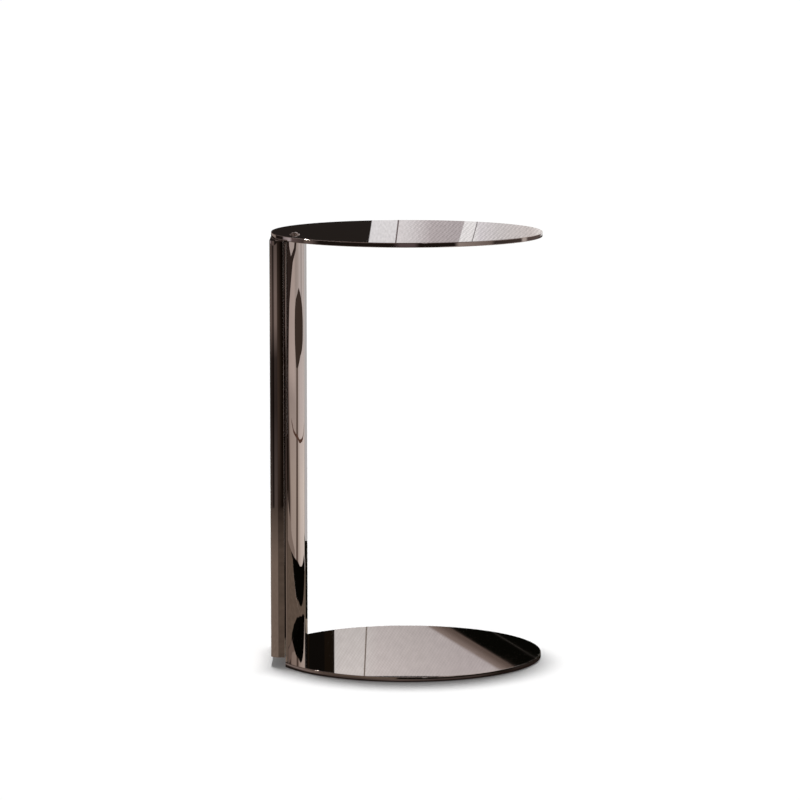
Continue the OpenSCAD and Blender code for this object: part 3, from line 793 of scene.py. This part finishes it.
def upright(axis, at, low, high, z0, z1):
    """A ring of corners of an upright face square to the x or the y axis."""
    if axis == "x":
        return [(at, low, z0), (at, high, z0), (at, high, z1), (at, low, z1)]
    return [(low, at, z0), (high, at, z0), (high, at, z1), (low, at, z1)]


def lying(z, *points):
    return [(x, y, z) for x, y in points]


def side_on(x, *points):
    return [(x, y, z) for y, z in points]


def screen(points, z0, z1):
    """Upright faces along a chain of points of the floor."""
    return [[(*a, z0), (*b, z0), (*b, z1), (*a, z1)] for a, b in zip(points, points[1:])]


def circle(centre, radius, degrees):
    """Points round the centre, by their degrees from straight in front."""
    turns = [math.radians(degree) for degree in degrees]
    return [(centre[0] + radius * math.sin(a), centre[1] - radius * math.cos(a)) for a in turns]


def weave(paint, x, z, period, depth):
    """Two crossing sets of threads, as a factor about 1."""
    up = paint.waves(paint.math("MULTIPLY_ADD", z, 0.6, x), period)
    down = paint.waves(paint.math("MULTIPLY_ADD", z, -1.1, x), period * 0.9)
    return paint.math("MULTIPLY_ADD", paint.math("ADD", up, down), depth, 1)


def back_low(paint):
    """What the base shows: a dark gap, pale cloth with a seam, then a slanted brown and black edge."""
    x, y, z = paint.place()
    tone = paint.ramp(x, -0.14, 0.24, [(-0.134, PALE), (-0.08, PALE), (-0.05, (0.81, 0.77, 0.765)),
                                       (0.02, (0.74, 0.70, 0.695)), (0.12, (0.66, 0.615, 0.62))])
    dim = paint.span(z, 0.25, 0.34, 0.86, 1.0)
    dim = paint.math("MULTIPLY", dim, weave(paint, x, z, 0.0066, 0.05))
    dim = paint.math("MULTIPLY", dim, paint.streaks(0.012, (1, 1, 1), 0.05, 2.0))
    tone = paint.scale(tone, dim)
    seam = paint.math("MULTIPLY_ADD", z, 0.046, x)
    tone = paint.mix(paint.between(seam, -0.0628, -0.0604, 0.0005), tone, (0.22, 0.18, 0.15))
    slant = paint.math("MULTIPLY_ADD", paint.math("MAXIMUM", z, 0.24), -1.62, x)
    slant = paint.math("ADD", slant, 0.4277)
    for edge, soft, past_it in ((0.054, 0.006, (0.29, 0.23, 0.205)), (0.072, 0.012, (0.15, 0.112, 0.095)),
                                (0.092, 0.003, BLACK)):
        tone = paint.mix(paint.past(slant, edge, soft), tone, past_it)
    tone = paint.mix(paint.between(slant, 0.158, 0.1605, 0.001), tone, (0.06, 0.055, 0.05))
    return paint.mix(paint.past(x, -0.1345), GAP_BLACK, tone)


def back_high(paint):
    """What the top shows: a dark gap, a plain pale panel, then cloth panels with seams."""
    x, y, z = paint.place()
    tone = paint.ramp(x, -0.07, 0.28, [(-0.064, (0.84, 0.83, 0.845)), (-0.016, (0.84, 0.825, 0.84)),
                                       (-0.012, (0.80, 0.765, 0.775)), (0.004, (0.77, 0.74, 0.75)),
                                       (0.027, (0.67, 0.63, 0.64)), (0.05, (0.53, 0.48, 0.49)),
                                       (0.10, (0.49, 0.445, 0.455))])
    far = paint.ramp(x, 0.09, 0.30, [(0.12, (0.905, 0.89, 0.893)), (0.128, (0.905, 0.89, 0.893)),
                                     (0.14, (0.76, 0.73, 0.755)), (0.177, (0.68, 0.65, 0.65)),
                                     (0.235, (0.69, 0.64, 0.625)), (0.26, (0.95, 0.92, 0.90))])
    step = paint.math("MULTIPLY_ADD", z, 0.18, x)
    tone = paint.mix(paint.past(step, 0.2431), tone, far)
    dim = weave(paint, x, z, 0.0076, paint.span(x, -0.012, 0.03, 0.01, 0.12))
    tone = paint.scale(tone, paint.math("MULTIPLY", dim, paint.streaks(0.004, (1, 1, 0.5), 0.12)))
    seam = paint.math("MULTIPLY_ADD", z, 0.077, x)
    tone = paint.mix(paint.between(seam, 0.0419, 0.0446, 0.0005), tone, (0.16, 0.125, 0.125))
    seam = paint.math("MULTIPLY_ADD", z, 0.166, x)
    tone = paint.mix(paint.between(seam, 0.2562, 0.2578, 0.0004), tone, (0.14, 0.12, 0.12))
    edge = paint.math("MULTIPLY_ADD", z, 0.10, x)
    return paint.mix(paint.past(edge, 0.0105), (0.020, 0.016, 0.014), tone)


def seat_side(paint):
    """What the column shows: the pale cloth of a seat, darker near its front, with painted shade in a crease and a
    slanted line.
    """
    x, y, z = paint.place()
    shifted = paint.math("SUBTRACT", y, paint.span(z, 0.16, 0.34, 0.06, 0.0))
    tone = paint.ramp(shifted, -0.62, 0.45, [(-0.60, (0.045, 0.035, 0.03)), (-0.575, (0.15, 0.12, 0.11)),
                                             (-0.55, (0.40, 0.34, 0.315)), (-0.52, (0.58, 0.52, 0.49)),
                                             (-0.34, (0.64, 0.575, 0.545)), (-0.24, (0.78, 0.73, 0.70)),
                                             (-0.10, (0.97, 0.93, 0.92)), (0.40, (1.0, 0.97, 0.95))])
    dim = paint.ramp(z, 0.0, 0.62, [(0.08, (1.1, 1.1, 1.06)), (0.19, (1.19, 1.19, 1.13)), (0.33, (1.0, 1.0, 1.0)),
                                    (0.54, (0.90, 0.91, 0.91))])
    tone = paint.mix(1.0, tone, dim, "MULTIPLY")
    near = paint.math("MULTIPLY", paint.between(y, -0.56, -0.33, 0.03), paint.past(z, 0.35, 0.03))
    tone = paint.scale(tone, paint.math("MULTIPLY_ADD", near, 0.37, 1))
    # Painted shade in a crease of the cloth, 42 percent darker
    fold_shade = paint.math("MULTIPLY", paint.between(y, -0.005, 0.06, 0.02), paint.past(z, 0.47, 0.03))
    tone = paint.scale(tone, paint.math("MULTIPLY_ADD", fold_shade, -0.42, 1))
    line = paint.between(paint.math("MULTIPLY_ADD", z, -0.074, y), -0.3274, -0.2734, 0.006)
    line = paint.math("SUBTRACT", line, paint.math("MULTIPLY", line, paint.past(z, 0.40, 0.004)))
    return paint.mix(line, tone, (0.20, 0.16, 0.135))


def greys(*stops):
    return [(place, (tone, tone, tone)) for place, tone in stops]


def surround(paint):
    """What the blade shows: a brown room to the left with a dark stretch, and a dark wall straight in front."""
    x, y, z = paint.place()
    turn = paint.turn(x, y, SPINE_PLACE)
    wide = paint.ramp(turn, -150, 20, [(-150, (0.26, 0.22, 0.20)), (-92, (0.20, 0.165, 0.15)),
                                       (-82, (0.13, 0.10, 0.09)), (-76, (0.05, 0.04, 0.033)),
                                       (-62, (0.05, 0.04, 0.033)), (-56, (0.31, 0.26, 0.24)),
                                       (20, (0.31, 0.26, 0.24))])
    wide_dim = paint.ramp(z, 0.0, 1.2, [(0.0, (0.45, 0.45, 0.45)), (0.09, (0.33, 0.33, 0.33)),
                                        (0.19, (0.17, 0.16, 0.16)), (0.28, (0.20, 0.19, 0.19)),
                                        *greys((0.345, 1.0), (0.40, 1.0), (0.50, 0.55), (1.1, 1.0))])
    near = paint.mix(paint.past(turn, -1.64, 0.12), (0.085, 0.062, 0.048), GAP_BLACK)
    near_dim = paint.ramp(z, 0.0, 1.2, greys((0.0, 0.7), (0.1, 1.0), (0.38, 0.9), (0.50, 0.45), (1.1, 4.0)))
    wide = paint.mix(1.0, wide, wide_dim, "MULTIPLY")
    near = paint.mix(1.0, near, near_dim, "MULTIPLY")
    tone = paint.mix(paint.past(turn, -9, 3), wide, near)
    return paint.scale(tone, paint.streaks(0.10, (1, 1, 0.03), 0.28))


def front_dark(paint):
    x, y, z = paint.place()
    tone = paint.ramp(z, 0.0, 1.4, [(0.0, (0.05, 0.036, 0.026)), (0.06, (0.014, 0.009, 0.005)),
                                    (0.35, (0.012, 0.007, 0.004)), (0.45, (0.03, 0.019, 0.010)),
                                    (0.9, (0.05, 0.035, 0.025)), (1.3, (0.30, 0.26, 0.24))])
    return paint.scale(tone, paint.streaks(0.10, (1, 1, 0.05), 0.5))


def carpet(paint):
    """Dark in front and brown to the sides, darker far to the left."""
    x, y, z = paint.place()
    turn = paint.turn(x, y, SPINE_PLACE)
    front = paint.ramp(y, FRONT_Y, 0.0, [(-1.62, (0.045, 0.034, 0.027)), (-1.15, (0.13, 0.105, 0.085)),
                                         (-0.6, (0.16, 0.13, 0.105))])
    left = paint.scale(BROWN, paint.span(paint.distance(x, y, SPINE_PLACE), 0.9, 1.5, 1.0, 0.45))
    tone = paint.mix(paint.past(turn, -9, 4), left, front)
    tone = paint.mix(paint.past(turn, 25, 12), tone, (0.215, 0.175, 0.14))
    return paint.scale(tone, paint.streaks(0.03, (1, 0.6, 1), 0.15, 4.0))


def rim_shade(paint):
    """What the base's rim shows of the floor close by: nearly black beside it, as painted contact shadow, then a
    tone that changes along it.
    """
    x, y, z = paint.place()
    tone = paint.ramp(paint.turn(x, y), -70, 80, [
        (-60, (0.34, 0.29, 0.27)), (-48, (0.30, 0.25, 0.23)), (-40, (0.14, 0.115, 0.105)), (-22, (0.11, 0.09, 0.08)),
        (-4, (0.19, 0.155, 0.14)), (14, (0.10, 0.08, 0.075)), (34, (0.09, 0.07, 0.065)), (48, (0.02, 0.015, 0.012)),
        (60, (0.05, 0.04, 0.035))])
    # Nearly black out to 0.211 from the middle: painted contact shadow beside the base
    return paint.mix(paint.past(paint.distance(x, y), 0.211, 0.003), (0.025, 0.018, 0.015), tone)


def rim_ring(paint):
    """What only the top's rim shows, by the angle from straight in front: dark, with light and brown stretches."""
    x, y, z = paint.place()
    turn = paint.turn(x, y)
    dark, brown, black, faint = (0.16, 0.13, 0.12), (0.34, 0.28, 0.25), (0.02, 0.015, 0.012), (0.15, 0.12, 0.125)
    left = paint.ramp(turn, -180, 0, [
        (-146, brown), (-113, brown), (-111, black), (-97, black), (-95, (0.40, 0.36, 0.38)),
        (-86, (0.72, 0.68, 0.71)), (-83, (0.20, 0.16, 0.16)), (-71, (0.10, 0.08, 0.075)), (-68, (0.24, 0.20, 0.18)),
        (-62, dark), (-58, (0.05, 0.04, 0.035)), (-56, black), (-8, black), (-4, faint)])
    right = paint.ramp(turn, 0, 180, [
        (4, faint), (7, black), (28, black), (31, (0.50, 0.45, 0.42)), (53, (0.27, 0.23, 0.21)),
        (56, (0.07, 0.055, 0.05)), (82, (0.10, 0.08, 0.07)), (84, (0.80, 0.76, 0.73)), (88, (0.75, 0.71, 0.68)),
        (91, dark), (118, dark), (124, (0.9, 0.9, 0.9))])
    return paint.mix(paint.past(turn, 0, 0.5), left, right)


# The floor and the walls
card("carpet", [lying(FLOOR_CARD_Z, (LEFT_X, FRONT_Y), (SEAT_X, FRONT_Y), (0.265, -0.28), (0.265, BACK_Y),
                      (LEFT_X, BACK_Y)),
                lying(FLOOR_CARD_Z, (SEAT_X, FRONT_Y), (RIGHT_X, FRONT_Y), (RIGHT_X, -0.67), (0.546, -0.667),
                      (0.265, -0.28)),
                lying(0.0005, (0.265, -0.28), (0.325, -0.36), (0.325, 0.6), (0.265, 0.6))], carpet)
# Black floor under the seat and a black upright behind it: painted shade under the seat
card("shade_under_seat", [lying(FLOOR_CARD_Z, (0.325, -0.36), (0.546, -0.667), (RIGHT_X, -0.67), (RIGHT_X, BACK_Y),
                          (0.325, BACK_Y)),
                    upright("x", 0.52, -0.62, 0.47, 0, 0.6)], BLACK)
card("back_low", [upright("y", BACK_Y, LEFT_X, RIGHT_X, 0, BACK_SPLIT_Z)], back_low)
card("back_high", [upright("y", BACK_Y, LEFT_X, RIGHT_X, BACK_SPLIT_Z, BACK_TOP_Z)], back_high)
card("left_far", [upright("x", -1.75, -0.6, BACK_Y, 0, WALL_H)], (0.26, 0.22, 0.20))
card("right_far", [upright("x", RIGHT_X, -1.4, BACK_Y, 0, WALL_H)], (0.42, 0.36, 0.33))
card("front_dark", [upright("y", -1.4, 0.40, RIGHT_X, 0, WALL_H)], front_dark)
card("surround", screen(circle(SPINE_PLACE, 1.5, range(-150, 21, 5)), 0, WALL_H), surround)
card("ceiling", [lying(CEILING_Z, (-2.6, -3.4), (-2.6, 2.4), (2.6, 2.4), (2.6, -3.4))], (0.16, 0.13, 0.115))
card("lamp", [lying(2.55, (-2.53, 0.75), (-2.53, 1.09), (-2.19, 1.09), (-2.19, 0.75))], (1.0, 0.96, 0.92), 110.0)

# The seat that the column shows, with its painted shade, its corner in painted shade with a lit strip, its piping,
# its underside in painted shade, and its lip
card("seat_side", [side_on(SEAT_X, (-0.60, 0.13), (-0.544, 0.110), (-0.478, 0.093), (-0.38, 0.077), (-0.294, 0.078),
                           (0.25, 0.078), (0.45, 0.04), (0.45, 0.61), (-0.60, 0.61))], seat_side)
card("seat_shade", [side_on(SEAT_SHADE_X, (-0.302, 0.387), (-0.241, 0.39), (-0.051, 0.413), (0.10, 0.419),
                            (0.19, 0.427), (0.215, 0.443), (0.21, 0.458), (0.14, 0.482), (0.053, 0.497),
                            (-0.06, 0.511), (-0.164, 0.519), (-0.25, 0.510), (-0.308, 0.495), (-0.33, 0.478),
                            (-0.338, 0.455), (-0.335, 0.428), (-0.319, 0.405))], (0.082, 0.062, 0.05))
# The seat's upper front corner, nearly black: painted shade, with a lit strip laid on it by the next card
card("seat_corner", [side_on(SEAT_SHADE_X, (-0.60, 0.61), (-0.60, 0.36), (-0.565, 0.37), (-0.54, 0.43),
                             (-0.512, 0.475), (-0.455, 0.512), (-0.388, 0.55), (-0.30, 0.573), (-0.25, 0.61))],
     (0.05, 0.038, 0.033))
card("seat_corner_light", [side_on(SEAT_LIGHT_X, (-0.535, 0.592), (-0.325, 0.592), (-0.35, 0.575), (-0.446, 0.556),
                                   (-0.51, 0.568))], (0.75, 0.70, 0.68))
PIPING, PIPING_HALF = [(-0.45, 0.292), (-0.385, 0.280), (-0.313, 0.278), (-0.15, 0.277), (-0.01, 0.278),
                       (0.2, 0.274), (0.43, 0.272)], 0.003
card("piping", [side_on(SEAT_LIGHT_X, (y0, z0 - PIPING_HALF), (y1, z1 - PIPING_HALF), (y1, z1 + PIPING_HALF),
                        (y0, z0 + PIPING_HALF)) for (y0, z0), (y1, z1) in zip(PIPING, PIPING[1:])],
     (0.17, 0.10, 0.075))
# The seat's underside, black: painted shade under the seat
card("seat_underside", [lying(0.077, (0.235, -0.46), (0.217, -0.415), (0.200, -0.357), (0.176, -0.29),
                              (0.172, -0.10), (0.20, 0.07), (0.25, 0.25), (0.55, 0.30), (0.55, -0.50))], BLACK)
card("seat_lip", [side_on(SEAT_LIP_X, (-0.62, 0.077), (-0.36, 0.077), (-0.36, 0.09), (-0.45, 0.103), (-0.50, 0.12),
                          (-0.62, 0.15))], (0.40, 0.34, 0.30))

# Narrow cards behind and under the table, for the column's edge, the seam and the two rims. The dark card at the
# seam, the black patch round the base and the black band beside the base's rim are painted shade.
card("column_glow", [upright("y", GLOW_Y, -0.152, -0.130, 0.132, 0.62)], (0.43, 0.41, 0.405))
card("column_glow_side", [upright("y", GLOW_Y, -0.130, 0.085, 0.132, 0.62)], (0.70, 0.66, 0.64))
card("column_gap", [upright("y", GLOW_Y, -0.152, -0.128, 0.009, 0.132),
                    upright("y", GLOW_Y, -0.128, 0.085, 0.098, 0.132)], (0.006, 0.005, 0.004))
# A dark card at the back end of the gap between blade and column: painted shade inside the gap, which its mirrored
# faces show
card("seam_shade", [upright("y", SPINE_HALF + 0.4 * MM, BLADE_IN - MM, COLUMN_X + 1.5 * MM, 0.010, 0.629)],
     (0.02, 0.016, 0.014))
# Black on the floor round the front of the base: a painted shadow of the base, for the mirrors
card("base_shadow", [lying(BASE_SHADOW_Z, (-0.04, -0.20), (-0.017, -0.229), (0.029, -0.263), (0.10, -0.283),
                        (0.18, -0.268), (0.235, -0.16), (0.235, -0.04), (0.21, 0.08), (0.15, 0.10), (0.0, -0.10))],
     BLACK)
near_rim, far_rim = (circle((0, 0), radius, range(-75, 86, 5)) for radius in (0.19, 0.222))
card("rim_shade", [lying(RIM_CARD_Z, a, b, d, c)
                   for a, b, c, d in zip(near_rim, near_rim[1:], far_rim, far_rim[1:])], rim_shade)
card("rim_ring", screen(circle((0, 0), RING_R, range(0, 361, 5)), 0.612, 0.640), rim_ring)
